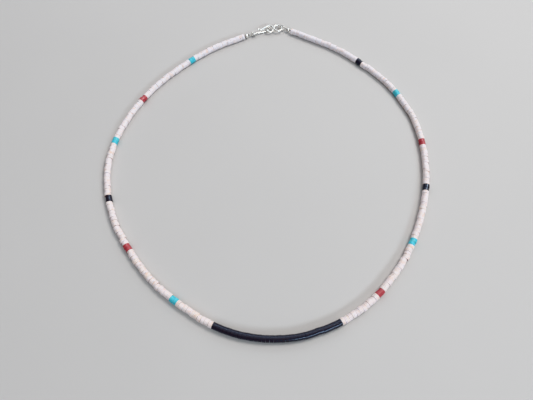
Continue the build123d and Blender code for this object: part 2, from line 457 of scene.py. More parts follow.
@dataclass(frozen=True)
class TurquoiseFinish:
    """Blue-green stone with paler clouds and thin brown veins."""

    blue: Colour = srgb(70, 192, 212)
    green: Colour = srgb(92, 196, 204)
    pale: Colour = srgb(138, 212, 222)
    vein: Colour = srgb(96, 84, 66)
    dust: Colour = srgb(120, 132, 128)
    clouds: Patches = Patches(1.1, 0.5, 0.75, detail=3.0)
    cloud_strength: float = 0.6
    vein_bend_scale: float = 1.3
    vein_scale: float = 0.75
    vein_edge: Pair = (0.015, 0.06)
    veined: Patches = Patches(0.8, 0.45, 0.62)
    vein_strength: float = 0.4
    seam_strength: float = 0.14
    fine_scale: float = 8.0
    roughness: float = 0.34
    fine_roughness: float = 0.14
    vein_roughness: float = 0.2
    relief: float = 0.01
    fine_relief: float = 0.6

    def material(self) -> bpy.types.Material:
        """Build the turquoise's shader.

        Returns:
            The material.
        """
        tree = ShaderTree("turquoise_stone")
        grain, warm, seam = tree.bead_values()
        base = tree.mix(warm, self.blue, self.green)
        base = tree.mix(self.clouds.on(tree, grain) * self.cloud_strength, base, self.pale)
        swirl = {"Vector": grain, "Scale": self.vein_bend_scale}
        bent = tree.vector("ADD", grain, tree.node("ShaderNodeTexNoise", {}, swirl)["Color"])
        cells = {"Vector": bent, "Scale": self.vein_scale}
        edge = tree.node("ShaderNodeTexVoronoi", {"feature": "DISTANCE_TO_EDGE"}, cells)["Distance"]
        veins = (1 - edge.ramp(*self.vein_edge)) * self.veined.on(tree, grain)
        base = tree.mix(veins * self.vein_strength, base, self.vein)
        fine = tree.fine(grain, self.fine_scale)
        uneven = fine * self.fine_roughness + veins * self.vein_roughness
        return tree.finish({
            "Base Color": tree.mix(seam * self.seam_strength, base, self.dust, Blend.MULTIPLY),
            "Roughness": self.roughness + uneven,
            "Normal": tree.bump(fine * self.fine_relief - veins, self.relief),
        })


@dataclass(frozen=True)
class CoralFinish:
    """Polished red shell, banded lighter and darker across its thickness."""

    red: Colour = srgb(182, 78, 84)
    dark: Colour = srgb(154, 54, 60)
    light: Colour = srgb(208, 120, 118)
    dust: Colour = srgb(110, 70, 64)
    bands: Bands = Bands(1.1, 3.0)
    band_range: Pair = (0.1, 0.9)
    band_strength: float = 0.32
    pit_scale: float = 2.6
    pit_range: Pair = (0.58, 0.72)
    pit_strength: float = 0.25
    warm_pit_strength: float = 0.2
    seam_strength: float = 0.22
    roughness: float = 0.26
    pit_roughness: float = 0.16
    relief: float = 0.005
    band_relief: float = 0.2
    coat: float = 0.35
    coat_roughness: float = 0.1

    def material(self) -> bpy.types.Material:
        """Build the red shell's shader.

        Returns:
            The material.
        """
        tree = ShaderTree("shell_red")
        grain, warm, seam = tree.bead_values()
        bands = self.bands.on(tree, grain)
        base = tree.mix(bands.ramp(*self.band_range) * self.band_strength, self.red, self.dark)
        pits = tree.noise(grain, self.pit_scale, detail=3.0, rough=0.65)
        chalky = warm * self.warm_pit_strength + self.pit_strength
        base = tree.mix(pits.ramp(*self.pit_range) * chalky, base, self.light)
        return tree.finish({
            "Base Color": tree.mix(seam * self.seam_strength, base, self.dust, Blend.MULTIPLY),
            "Roughness": self.roughness + pits * self.pit_roughness,
            "Normal": tree.bump(pits + bands * self.band_relief, self.relief),
            "Coat Weight": self.coat,
            "Coat Roughness": self.coat_roughness,
        })


class Polish(Enum):
    """How bright a silver piece is: its roughness and how much tarnish its hollows hold."""

    BRIGHT = (0.2, 0.3)
    COILED = (0.34, 0.3)


@dataclass(frozen=True)
class SilverFinish:
    """Silver with fine rubbing marks, and tarnish where it isn't rubbed."""

    polish: Polish = Polish.BRIGHT
    silver: Colour = srgb(240, 237, 232)
    tarnish: Colour = srgb(150, 138, 122)
    cloud_scale: float = 1.7
    cloud_range: Pair = (0.55, 0.8)
    cloud_strength: float = 0.2
    marks_per_mm: Point = (3.0, 16.0, 9.0)
    mark_roughness: float = 0.1
    dull_roughness: float = 0.22
    relief: float = 0.002
    mark_relief: float = 0.5

    def material(self) -> bpy.types.Material:
        """Build the silver's shader.

        Returns:
            The material.
        """
        roughness, hollow_strength = self.polish.value
        tree = ShaderTree(f"silver_{self.polish.name.lower()}")
        place = tree.place_mm()
        cloud = tree.noise(place, self.cloud_scale, detail=3.0)
        marks = tree.fine(tree.vector("MULTIPLY", place, self.marks_per_mm), 1.0)
        dull = tree.attribute("hollow") * hollow_strength
        dull = dull + cloud.ramp(*self.cloud_range) * self.cloud_strength
        return tree.finish({
            "Base Color": tree.mix(dull, self.silver, self.tarnish),
            "Metallic": 1.0,
            "Roughness": roughness + marks * self.mark_roughness + dull * self.dull_roughness,
            "Normal": tree.bump(marks * self.mark_relief + cloud, self.relief),
        })


@dataclass(frozen=True)
class ThreadFinish:
    """Dark coated cable whose fine strands show as a slant relief."""

    dark: Colour = srgb(52, 49, 50)
    worn: Colour = srgb(104, 100, 98)
    strands: Bands = Bands(2.6, 0.6, run=Run.SLANTED)
    rubbed: Patches = Patches(2.2, 0.5, 0.8)
    rubbed_strength: float = 0.5
    roughness: float = 0.42
    rubbed_roughness: float = 0.2
    relief: float = 0.02

    def material(self) -> bpy.types.Material:
        """Build the cable's shader.

        Returns:
            The material.
        """
        tree = ShaderTree("wire_coating")
        place = tree.place_mm()
        rubbed = self.rubbed.on(tree, place)
        return tree.finish({
            "Base Color": tree.mix(rubbed * self.rubbed_strength, self.dark, self.worn),
            "Roughness": self.roughness + rubbed * self.rubbed_roughness,
            "Normal": tree.bump(self.strands.on(tree, place), self.relief),
        })


@dataclass(frozen=True)
class FloorFinish:
    """Plain pale matt surface."""

    pale: Colour = srgb(198, 194, 191)
    shade: Colour = srgb(191, 187, 184)
    cloud_scale: float = 0.012
    cloud_strength: float = 0.6
    fine_scale: float = 1.6
    fine_strength: float = 0.3
    roughness: float = 0.7
    relief: float = 0.01

    def material(self) -> bpy.types.Material:
        """Build the surface's shader.

        Returns:
            The material.
        """
        tree = ShaderTree("pale_surface")
        place = tree.place_mm()
        cloud = tree.noise(place, self.cloud_scale, detail=3.0)
        fine = tree.fine(place, self.fine_scale)
        shade = cloud * self.cloud_strength + fine * self.fine_strength
        return tree.finish({
            "Base Color": tree.mix(shade, self.pale, self.shade),
            "Roughness": self.roughness,
            "Normal": tree.bump(fine, self.relief),
        })


# Meshes


def grid_faces(rows: int, columns: int, close_rows: bool, close_columns: bool) -> np.ndarray:
    """Return the four-sided faces of a grid of points, row after row.

    Args:
        rows: how many rows of points there are.
        columns: how many points a row has.
        close_rows: whether the last row joins the first.
        close_columns: whether the last column joins the first.

    Returns:
        Point numbers, four for each face.
    """
    row = np.arange(rows if close_rows else rows - 1)[:, None]
    column = np.arange(columns if close_columns else columns - 1)[None, :]
    next_row, next_column = (row + 1) % rows, (column + 1) % columns
    corners = [
        row * columns + column,
        row * columns + next_column,
        next_row * columns + next_column,
        next_row * columns + column,
    ]
    return np.stack(corners, -1).reshape(-1, 4)


@dataclass
class MeshMaker:
    """Gathers points, faces and point values, then makes one object of them."""

    points: list[np.ndarray] = field(default_factory=list)
    faces: list[list[int]] = field(default_factory=list)
    values: dict[str, list[np.ndarray]] = field(default_factory=dict)
    count: int = 0

    def add(
        self,
        points: np.ndarray,
        faces: Iterable[Sequence[int]],
        values: dict[str, np.ndarray],
    ) -> None:
        """Add a closed form.

        Args:
            points: its points in millimetres.
            faces: numbers of its own points.
            values: named numbers or vectors, one for each point.
        """
        self.faces += [[int(n) + self.count for n in face] for face in faces]
        self.points.append(points)
        for name, value in values.items():
            self.values.setdefault(name, []).append(value)
        self.count += len(points)

    def piece(
        self,
        name: str,
        finish: bpy.types.Material,
        slot: str,
        replaced: str,
        crease: float = 180.0,
    ) -> bpy.types.Object:
        """Make the object, and hide the model's node that it replaces.

        Args:
            name: the object's name.
            finish: its material.
            slot: the record's material slot; not used.
            replaced: the model's node that it stands for.
            crease: the angle in degrees from which an edge is shaded sharp.

        Returns:
            The object.
        """
        mesh = bpy.data.meshes.new(name)
        mesh.from_pydata((np.concatenate(self.points) * MM).tolist(), [], self.faces)
        mesh.polygons.foreach_set("use_smooth", np.ones(len(mesh.polygons), bool))
        for key, parts in self.values.items():
            data = np.concatenate(parts).astype(np.float32)
            kind, number = ("FLOAT_VECTOR", "vector") if data.ndim == 2 else ("FLOAT", "value")
            mesh.attributes.new(key, kind, "POINT").data.foreach_set(number, data.ravel())
        mesh.materials.append(finish)
        mesh.update()
        mesh.set_sharp_from_angle(angle=math.radians(crease))
        piece = add_object(name, mesh)
        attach(piece, "root")
        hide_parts(replaced)
        return piece


# Beads


@dataclass
class Disc:
    """Where one of the model's discs lies, in millimetres."""

    middle: np.ndarray
    axis: np.ndarray
    radius: float
    bore: float
    thickness: float


@dataclass(frozen=True)
class DiscReader:
    """Finds the loose discs of a node of the model, and measures them."""

    same_point_digits: int = 4
    same_way: float = 0.9999
    rim_share: float = 0.97

    def read(self, node: str) -> list[Disc]:
        """Find the discs of a node.

        Args:
            node: the node's name.

        Returns:
            Its discs, in no order.
        """
        mesh = frame["nodes"][node].data
        points = np.array([v.co for v in mesh.vertices], float) / MM
        group = self.groups(points, mesh.polygons)
        face_group = np.array([group[p.vertices[0]] for p in mesh.polygons])
        normals = np.array([p.normal for p in mesh.polygons], float)
        areas = np.array([p.area for p in mesh.polygons], float)
        return [
            self.measure(points[group == g], normals[face_group == g], areas[face_group == g])
            for g in np.unique(group)
        ]

    def groups(self, points: np.ndarray, faces: Iterable[bpy.types.MeshPolygon]) -> np.ndarray:
        """Tell loose solids apart, also where a mesh holds a point more than once.

        Args:
            points: all the points.
            faces: all the faces.

        Returns:
            The number of a solid for each point.
        """
        rounded = np.round(points, self.same_point_digits)
        same = np.unique(rounded, axis=0, return_inverse=True)[1].ravel()
        parent = np.arange(same.max() + 1)

        def root(n: int) -> int:
            """Find the number that a group of joined points goes by.

            Args:
                n: the number of one of its points.

            Returns:
                The group's number.
            """
            while parent[n] != n:
                parent[n] = parent[parent[n]]
                n = parent[n]
            return n

        for face in faces:
            first, *others = [root(same[v]) for v in face.vertices]
            for other in others:
                parent[root(other)] = root(first)
        return np.array([root(n) for n in same])

    def measure(self, points: np.ndarray, normals: np.ndarray, areas: np.ndarray) -> Disc:
        """Measure a disc, whose axis is level and whose end faces are its largest.

        Args:
            points: its points.
            normals: the normals of its faces.
            areas: the areas of its faces.

        Returns:
            The disc.
        """
        facing = np.abs(normals @ normals.T) > self.same_way
        axis = unit(normals[np.argmax(facing @ areas)] * [1, 1, 0])
        side = np.cross(UP, axis)
        along = points @ axis
        flat = np.stack([points @ side, points[:, 2]], 1)
        rough_middle = (flat.min(0) + flat.max(0)) / 2
        reach = np.hypot(*(flat - rough_middle).T)
        rim = flat[reach > self.rim_share * reach.max()]
        terms = np.column_stack([2 * rim, np.ones(len(rim))])
        (a, b, _), *_ = np.linalg.lstsq(terms, (rim**2).sum(1), rcond=None)
        reach = np.hypot(*(flat - (a, b)).T)
        middle = axis * (along.min() + along.max()) / 2 + side * a + UP * b
        return Disc(middle, axis, reach.max(), reach.min(), np.ptp(along))


@dataclass(frozen=True)
class BeadCutter:
    """Makes a bead from a disc: grooves between thin layers, rounded rims and small chips."""

    steps_round: int = 36
    inside: float = 0.008  # how far its outside stays within the disc's
    bore_lip: float = 0.06
    rim_round: float = 0.05
    rim_round_play: float = 0.07
    rim_turns: tuple[float, ...] = (0, 30, 60, 90)  # where the rounded rim has points
    uneven: float = 0.014  # share of the radius
    uneven_lobes: tuple[int, ...] = (2, 3, 5)
    uneven_least_spread: float = 0.5
    tilt: float = 0.5
    most_lean: float = 0.03
    layers: int = 3
    groove_depth: float = 0.04
    groove_width: float = 0.09
    groove_dirt: float = 0.7  # as a share of the dirt at the bead's ends
    warmth_spread: Pair = (1.3, 2.2)
    cool_play: float = 0.12
    chip_share: float = 0.14  # of the beads
    chip_depth: float = 0.12
    chip_length: float = 0.35
    chip_turns: Pair = (0.15, 0.4)  # half the width, in radians
    chip_from: float = 0.8  # share of the way out from the bore
    grain_straight: float = 0.85
    grain_turned: float = 0.25
    grain_shift: float = 60.0
    crease: float = 35.0

    def profile(self, half: float, radius: float, bore: float, edge: float) -> np.ndarray:
        """Return the wall's outline as distances along the axis and out from it.

        Args:
            half: half the thickness.
            radius: the outer radius.
            bore: the bore's radius.
            edge: the radius of the rounded rim.

        Returns:
            The outline's points, from one end of the bore over the rim to the other.
        """
        turn = np.radians(self.rim_turns)
        lip, side = self.bore_lip, self.groove_width / 2
        rim = np.stack([-half + edge * (1 - np.sin(turn)), radius - edge * (1 - np.cos(turn))], 1)
        grooves = [
            (2 * half * layer / self.layers - half + shift, radius - depth)
            for layer in range(1, self.layers)
            for shift, depth in ((-side, 0.0), (0.0, self.groove_depth), (side, 0.0))
        ]
        face = [(-half + lip, bore), (-half, bore + lip), (-half, (bore + radius) / 2)]
        first = np.array(face + rim[::-1].tolist())
        return np.concatenate([first, grooves, first[::-1] * [-1, 1]])

    def wobble(self, angle: np.ndarray, draw: np.random.Generator) -> np.ndarray:
        """Draw how far the outline stays inside a true circle.

        Args:
            angle: angles round the bead.
            draw: the source of this bead's own differences.

        Returns:
            A share of the radius at each angle, 0 or less.
        """
        waves = sum(
            draw.normal(0, 1) / lobes * np.cos(lobes * angle + draw.uniform(0, 2 * math.pi))
            for lobes in self.uneven_lobes
        )
        return self.uneven * (waves - waves.max()) / max(np.ptp(waves), self.uneven_least_spread)

    def chip(
        self,
        angle: np.ndarray,
        inset: np.ndarray,
        share_out: np.ndarray,
        draw: np.random.Generator,
    ) -> np.ndarray:
        """Draw whether and where a bit of the rim is chipped away.

        Args:
            angle: angles round the bead.
            inset: how far each point lies from the first and from the second end.
            share_out: how far out each point lies, from 0 at the bore to 1 at the rim.
            draw: the source of this bead's own differences.

        Returns:
            How deep the chip is at each point, from 0 to 1.
        """
        if draw.random() >= self.chip_share:
            return np.zeros_like(share_out)
        where, width = draw.uniform(0, 2 * math.pi), draw.uniform(*self.chip_turns)
        turn = (angle - where + math.pi) % (2 * math.pi) - math.pi
        from_end = inset[draw.choice([0, 1])]
        near = np.clip(1 - from_end / self.chip_length, 0, 1) * (share_out > self.chip_from)
        return np.exp(-((turn / width) ** 2)) * near

    def cut(
        self,
        maker: MeshMaker,
        disc: Disc,
        grow: Sequence[float],
        cool: float,
        draw: np.random.Generator,
    ) -> None:
        """Add one bead to a mesh.

        Args:
            maker: the mesh.
            disc: the disc that the bead replaces.
            grow: how far each end face moves out towards its neighbour.
            cool: how much painted bluish light the bead's colour holds, from 0 to 1.
            draw: the source of this bead's own differences.
        """
        edge = self.rim_round + self.rim_round_play * draw.random()
        half = (disc.thickness + sum(grow)) / 2
        outline = self.profile(half, disc.radius - self.inside, disc.bore, edge)
        angle = full_turn(self.steps_round)
        along = np.repeat(outline[:, :1], self.steps_round, 1)
        out = np.repeat(outline[:, 1:], self.steps_round, 1)
        share_out = (out - disc.bore) / (disc.radius - disc.bore)
        out = out * (1 + self.wobble(angle, draw) * share_out)

        layer_length = 2 * half / self.layers
        # just short of the end, so that the last point is still in the last layer
        layer = np.clip((along + half) / layer_length, 0, self.layers - 0.001)
        to_seam = np.minimum(layer % 1, 1 - layer % 1) * layer_length
        seam = 1 - np.clip(to_seam / self.groove_width * 2, 0, 1)
        seam[half - np.abs(along) > layer_length / 2] *= self.groove_dirt
        warmth = draw.beta(*self.warmth_spread, self.layers)
        # painted bluish light from the bead's place, spread a little at random as each layer's own
        # tone
        painted_cool_light_and_tone = np.clip(cool + draw.normal(0, self.cool_play, self.layers), 0, 1)
        layer = layer.astype(int).ravel()
        chip = self.chip(angle, np.stack([half + along, half - along]), share_out, draw)
        out = out - self.chip_depth * chip

        lean = np.sin(np.radians(draw.normal(0, self.tilt, 2)))
        flat_side, flat_up = out * np.cos(angle), out * np.sin(angle)
        shear = lean[0] * flat_side + lean[1] * flat_up
        along = along + np.clip(shear, -self.most_lean, self.most_lean)
        along = along + (grow[1] - grow[0]) / 2
        points = (
            disc.middle
            + along[..., None] * disc.axis
            + flat_side[..., None] * np.cross(UP, disc.axis)
            + flat_up[..., None] * UP
        ).reshape(-1, 3)

        turned = np.linalg.qr(draw.normal(size=(3, 3)))[0]
        slant = np.eye(3) * self.grain_straight + turned * self.grain_turned
        grain = np.stack([along, flat_side, flat_up], -1).reshape(-1, 3) @ slant
        values = {
            "grain": grain + draw.uniform(-self.grain_shift, self.grain_shift, 3),
            "warmth": warmth[layer],
            "painted_cool_light_and_tone": painted_cool_light_and_tone[layer],
            "seam": seam.ravel(),
            "chip": chip.ravel(),
        }
        maker.add(points, grid_faces(len(outline), self.steps_round, True, True), values)


class Stone(Enum):
    """Kinds of bead: the record's slot and the finish."""

    WHITE = ("white_shell", ShellFinish())
    BLACK = ("black_shell", DarkShellFinish())
    TURQUOISE = ("turquoise", TurquoiseFinish())
    RED = ("red_coral", CoralFinish())

    @property
    def slot(self) -> str:
        """Return the record's material slot."""
        return self.value[0]

    @property
    def finish(self) -> ShellFinish | DarkShellFinish | TurquoiseFinish | CoralFinish:
        """Return the finish."""
        return self.value[1]


@dataclass
class BeadString:
    """All the beads, each in its disc's place and closed up towards its neighbours."""

    seed: int = 11
    least_gap: float = 0.015  # left between two beads where they come nearest
    widest_neighbour_gap: float = 0.4
    painted_cool_light_rise: float = 1.6  # power by which the painted bluish light on the beads rises towards the clasp
    shell_cutter: BeadCutter = BeadCutter()
    polished_cutter: BeadCutter = BeadCutter(
        rim_round=0.025, rim_round_play=0.015, uneven=0.004, tilt=0.25, chip_share=0.04,
        groove_depth=0.02, groove_width=0.045,
    )
    stones: dict[str, Stone] = field(default_factory=lambda: {
        "white_beads": Stone.WHITE,
        "black_centre_beads": Stone.BLACK,
        "turquoise_bead": Stone.TURQUOISE,
        "red_bead": Stone.RED,
        "black_bead": Stone.BLACK,
    })

    def stone(self, node: str) -> Stone | None:
        """Return the kind of bead that a node holds, if any."""
        return next((stone for start, stone in self.stones.items() if node.startswith(start)), None)

    def cutter(self, node: str) -> BeadCutter:
        """Return the cutter for the beads of a node."""
        return self.shell_cutter if self.stone(node) is Stone.WHITE else self.polished_cutter

    def find(self) -> list[tuple[str, Disc]]:
        """Find all the discs in their order along the string, with each axis pointing ahead.

        Returns:
            The name of its node and the disc, for each.
        """
        strung = [
            (node, disc)
            for node in sorted(frame["nodes"])
            if self.stone(node)
            for disc in DiscReader().read(node)
        ]
        strung.sort(key=lambda found: math.atan2(-found[1].middle[0], -found[1].middle[1]))
        discs = [disc for _, disc in strung]
        ways = [ahead.middle - disc.middle for disc, ahead in zip(discs, discs[1:])]
        for disc, way in zip(discs, ways + ways[-1:]):
            if disc.axis @ way < 0:
                disc.axis = -disc.axis
        log.info("%d discs found", len(discs))
        return strung

    def build(self) -> list[bpy.types.Object]:
        """Make every bead.

        Returns:
            One object for each node of beads.
        """
        strung = self.find()
        discs = [disc for _, disc in strung]
        reach = [self.reach_out(a, b) for a, b in zip(discs, discs[1:] + discs[:1])]
        makers: dict[str, MeshMaker] = {}
        for i, (node, disc) in enumerate(strung):
            maker = makers.setdefault(node, MeshMaker())
            draw = np.random.default_rng([self.seed, i])
            self.cutter(node).cut(maker, disc, (reach[i - 1], reach[i]), self.cool(disc), draw)
        materials = {stone: stone.finish.material() for stone in Stone}
        pieces = []
        for node, maker in makers.items():
            stone, crease = self.stone(node), self.cutter(node).crease
            pieces.append(maker.piece(f"{node}_made", materials[stone], stone.slot, node, crease))
        return pieces

    def cool(self, disc: Disc) -> float:
        """Return how much painted bluish light a bead's colour holds: the most at the clasp, the
        least at the front.
        """
        low, high = cad_box[0][1] / MM, cad_box[1][1] / MM
        return ((disc.middle[1] - low) / (high - low)) ** self.painted_cool_light_rise

    def reach_out(self, disc: Disc, ahead: Disc) -> float:
        """Work out how far two neighbours' faces can each move so that they almost touch.

        Args:
            disc: one disc.
            ahead: the next disc of the string.

        Returns:
            The distance in millimetres, or 0 where the two aren't neighbours.
        """
        apart = np.linalg.norm(ahead.middle - disc.middle)
        gap = apart - (disc.thickness + ahead.thickness) / 2
        if gap > self.widest_neighbour_gap:
            return 0.0
        turn = math.acos(min(1.0, abs(disc.axis @ ahead.axis)))
        return max(0.0, (gap - turn * disc.radius - self.least_gap) / 2)


# Paths and wires


@dataclass
class Tilted:
    """A plane in space, with its own X, Y and Z directions."""

    origin: np.ndarray
    x: np.ndarray
    z: np.ndarray

    @property
    def y(self) -> np.ndarray:
        """Return the plane's Y direction."""
        return np.cross(self.z, self.x)

    def point(self, x: float, y: float, z: float = 0.0) -> np.ndarray:
        """Return a point given in the plane's own directions."""
        return self.origin + self.x * x + self.y * y + self.z * z


def heading(degrees: float, fall: float = 0.0) -> np.ndarray:
    """Return a direction, in degrees from +X, that falls by an angle in radians."""
    level = np.array([math.cos(math.radians(degrees)), math.sin(math.radians(degrees)), 0.0])
    return level * math.cos(fall) - UP * math.sin(fall)


def leaning(origin: np.ndarray, along: np.ndarray, roll: float) -> Tilted:
    """Return a plane whose X runs along a direction, rolled up about it from the surface.

    Args:
        origin: the plane's origin.
        along: its X direction.
        roll: the roll in degrees.

    Returns:
        The plane.
    """
    along = unit(along)
    side = unit(np.cross(UP, along))
    level = np.cross(along, side)
    turn = math.radians(roll)
    return Tilted(origin, along, level * math.cos(turn) - side * math.sin(turn))


def rounded_path(corners: Sequence[np.ndarray], radii: Sequence[float], step: float) -> np.ndarray:
    """Return points along straight runs joined by tangent arcs.

    Args:
        corners: the path's corners, with its two ends.
        radii: the radius at each inner corner.
        step: how far apart the points are at most.

    Returns:
        The points.
    """
    line = [np.array(corners[0], float)]

    def run_to(end: np.ndarray) -> None:
        """Add points up to a straight run's end.

        Args:
            end: where the run ends.
        """
        start = line[-1]
        count = max(1, math.ceil(np.linalg.norm(end - start) / step))
        line.extend(start + (end - start) * i / count for i in range(1, count + 1))

    for before, corner, after, radius in zip(corners, corners[1:], corners[2:], radii):
        back, ahead = unit(before - corner), unit(after - corner)
        half = math.acos(np.clip(back @ ahead, -1, 1)) / 2
        middle = corner + unit(back + ahead) * radius / math.sin(half)
        run_to(corner + back * radius / math.tan(half))
        first, second = line[-1] - middle, -back * radius
        sweep = math.pi - 2 * half
        count = max(2, math.ceil(sweep * radius / step))
        turns = [sweep * i / count for i in range(1, count + 1)]
        line.extend(middle + first * math.cos(t) + second * math.sin(t) for t in turns)
    run_to(np.array(corners[-1], float))
    return np.array(line)


def carried_frames(line: np.ndarray, closed: bool) -> tuple[np.ndarray, np.ndarray]:
    """Return directions across a line that follow it without twisting about it.

    Args:
        line: points along the line.
        closed: whether the last point joins the first.

    Returns:
        Two directions at each point, square to the line and to each other.
    """
    if closed:
        ahead, behind = np.roll(line, -1, 0), np.roll(line, 1, 0)
    else:
        ahead = np.concatenate([line[1:], 2 * line[-1:] - line[-2:-1]])
        behind = np.concatenate([2 * line[:1] - line[1:2], line[:-1]])
    tangent = ahead - behind
    tangent /= np.linalg.norm(tangent, axis=1)[:, None]
    steep = abs(tangent[0] @ UP) > 0.9
    across = [unit(np.cross(tangent[0], (1.0, 0.0, 0.0) if steep else UP))]
    for t in tangent[1:]:
        across.append(unit(across[-1] - t * (across[-1] @ t)))
    across = np.array(across)
    other = np.cross(tangent, across)
    if closed:
        left = across[-1] - tangent[0] * (across[-1] @ tangent[0])
        slip = math.atan2(left @ other[0], left @ across[0])
        turn = -slip * np.arange(len(line))[:, None] / len(line)
        across, other = (
            across * np.cos(turn) + other * np.sin(turn),
            other * np.cos(turn) - across * np.sin(turn),
        )
    return across, other


@dataclass(frozen=True)
class RoundWire:
    """Sweeps a round section along a line."""

    steps_round: int = 20
    cap_steps: int = 5
    cap_turn: float = 86.0  # short of 90, so that a small flat closes the end

    def sweep(
        self,
        maker: MeshMaker,
        line: np.ndarray,
        radius: float,
        closed: bool = False,
        round_ends: tuple[bool, bool] = (False, False),
    ) -> None:
        """Add a wire to a mesh.

        Args:
            maker: the mesh.
            line: points along the wire's middle.
            radius: the wire's radius.
            closed: whether the wire is a ring.
            round_ends: whether the first and the last end are half balls.
        """
        radii = np.full(len(line), radius)
        if not closed:
            line, radii = self.with_caps(line, radii, round_ends)
        across, other = carried_frames(line, closed)
        angle = full_turn(self.steps_round)
        ring = (
            across[:, None] * np.cos(angle)[None, :, None]
            + other[:, None] * np.sin(angle)[None, :, None]
        )
        points = (line[:, None] + ring * radii[:, None, None]).reshape(-1, 3)
        faces = grid_faces(len(line), self.steps_round, closed, True).tolist()
        if not closed:
            last = (len(line) - 1) * self.steps_round
            faces.append(list(range(self.steps_round))[::-1])
            faces.append([last + n for n in range(self.steps_round)])
        maker.add(points, faces, {"hollow": np.zeros(len(points))})

    def with_caps(
        self, line: np.ndarray, radii: np.ndarray, round_ends: tuple[bool, bool]
    ) -> tuple[np.ndarray, np.ndarray]:
        """Add a half ball at the ends that have one.

        Args:
            line: points along the wire's middle.
            radii: the radius at each point.
            round_ends: whether the first and the last end are half balls.

        Returns:
            The longer line and its radii.
        """
        turn = np.radians(np.linspace(0, self.cap_turn, self.cap_steps + 1)[:0:-1])
        for wanted in round_ends:
            if wanted:
                out = unit(line[0] - line[1])
                line = np.concatenate([line[0] + out * (radii[0] * np.sin(turn))[:, None], line])
                radii = np.concatenate([radii[0] * np.cos(turn), radii])
            line, radii = line[::-1], radii[::-1]
        return line, radii


# Clasp


@dataclass(frozen=True)
class Fits:
    """Sizes that the clasp's pieces share."""

    silver_wire: float = 0.9
    fit_gap: float = 0.1  # between pieces that hang in each other
    guard_diameter: float = 0.6
    strand_offset: float = 0.3  # each strand of the cable from the middle of a ball
    ball_bore: float = 1.11
    bend_share: float = 0.98  # of half a bend's width, for each of its two arcs
    step: float = 0.12  # between points along the silver wires


def ball_of(node: str) -> tuple[np.ndarray, float]:
    """Return the middle and the radius of one of the model's balls, in millimetres."""
    low, high = (np.array(corner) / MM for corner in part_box(node))
    return (low + high) / 2, (high[2] - low[2]) / 2


@dataclass
class EndBall:
    """A round silver bead drilled for two strands, with softened mouths."""

    node: str
    heading: float
    fits: Fits
    mouth: float = 0.07
    steps_round: int = 48
    steps_along: int = 26

    def build(self, finish: bpy.types.Material) -> bpy.types.Object:
        """Make the ball.

        Args:
            finish: its material.

        Returns:
            The object.
        """
        middle, radius = ball_of(self.node)
        axis, side = heading(self.heading), heading(self.heading + 90)
        bore = self.fits.ball_bore / 2
        start = math.asin((bore + self.mouth) / radius)
        turn = np.linspace(start, math.pi - start, self.steps_along)
        outside = np.stack([-radius * np.cos(turn), radius * np.sin(turn)], 1)
        reach = math.sqrt(radius**2 - bore**2)
        inside = np.array([(reach - self.mouth, bore), (0, bore), (self.mouth - reach, bore)])
        outline = np.concatenate([outside, inside])
        angle = full_turn(self.steps_round)
        points = (
            middle
            + outline[:, 0, None, None] * axis
            + outline[:, 1, None, None] * np.cos(angle)[None, :, None] * side
            + outline[:, 1, None, None] * np.sin(angle)[None, :, None] * UP
        ).reshape(-1, 3)
        hollow = np.concatenate([np.zeros(len(outside)), np.ones(len(inside))])
        values = {"hollow": np.repeat(hollow, self.steps_round)}
        maker = MeshMaker()
        maker.add(points, grid_faces(len(outline), self.steps_round, True, True), values)
        return maker.piece(f"{self.node}_made", finish, "silver", self.node)


@dataclass
class LoopGuard:
    """A close coil of fine silver wire round an end loop of the beading wire."""

    node: str
    plane: Tilted
    ball_radius: float
    reach: float
    bend: float
    fits: Fits
    coil_wire: float = 0.1
    inside: float = 0.003  # how far its outside stays within the sleeve's
    pitch: float = 0.108
    steps_per_turn: int = 18
    line_step: float = 0.05
    strand: RoundWire = RoundWire(steps_round=8, cap_steps=3)

    def middle_line(self) -> np.ndarray:
        """Lay the coil's middle from close to the ball, round the loop and back.

        Returns:
            Points along it.
        """
        gap, offset = self.fits.fit_gap, self.fits.strand_offset
        ahead = self.reach - self.ball_radius
        lean = math.asin(self.bend / math.hypot(ahead, offset)) - math.atan(offset / ahead)
        room = self.fits.guard_diameter / 2 + gap / 2 - offset
        start = self.ball_radius + max(gap, room / math.tan(lean))
        side = [
            (x, offset + (x - self.ball_radius) * math.tan(lean))
            for x in (start, self.reach + self.bend)
        ]
        corners = [self.plane.point(x, -y) for x, y in side]
        corners += [self.plane.point(x, y) for x, y in side[::-1]]
        return rounded_path(corners, [self.fits.bend_share * self.bend] * 2, self.line_step)

    def build(self, finish: bpy.types.Material) -> bpy.types.Object:
        """Wind the coil.

        Args:
            finish: its material.

        Returns:
            The object.
        """
        line = self.middle_line()
        across, other = carried_frames(line, False)
        run = np.concatenate([[0], np.cumsum(np.linalg.norm(np.diff(line, axis=0), axis=1))])
        inset = self.coil_wire / 2
        turns = (run[-1] - self.coil_wire) / self.pitch
        count = int(turns * self.steps_per_turn)
        along = np.linspace(inset, run[-1] - inset, count)

        def at(values: np.ndarray) -> np.ndarray:
            """Return values of the middle line at the coil's points."""
            return np.stack([np.interp(along, run, column) for column in values.T], 1)

        angle = np.linspace(0, 2 * math.pi * turns, count)[:, None]
        out = at(across) * np.cos(angle) + at(other) * np.sin(angle)
        out = out * (self.fits.guard_diameter / 2 - inset - self.inside)
        maker = MeshMaker()
        self.strand.sweep(maker, at(line) + out, inset, round_ends=(True, True))
        return maker.piece(f"{self.node}_coil", finish, "silver", self.node)


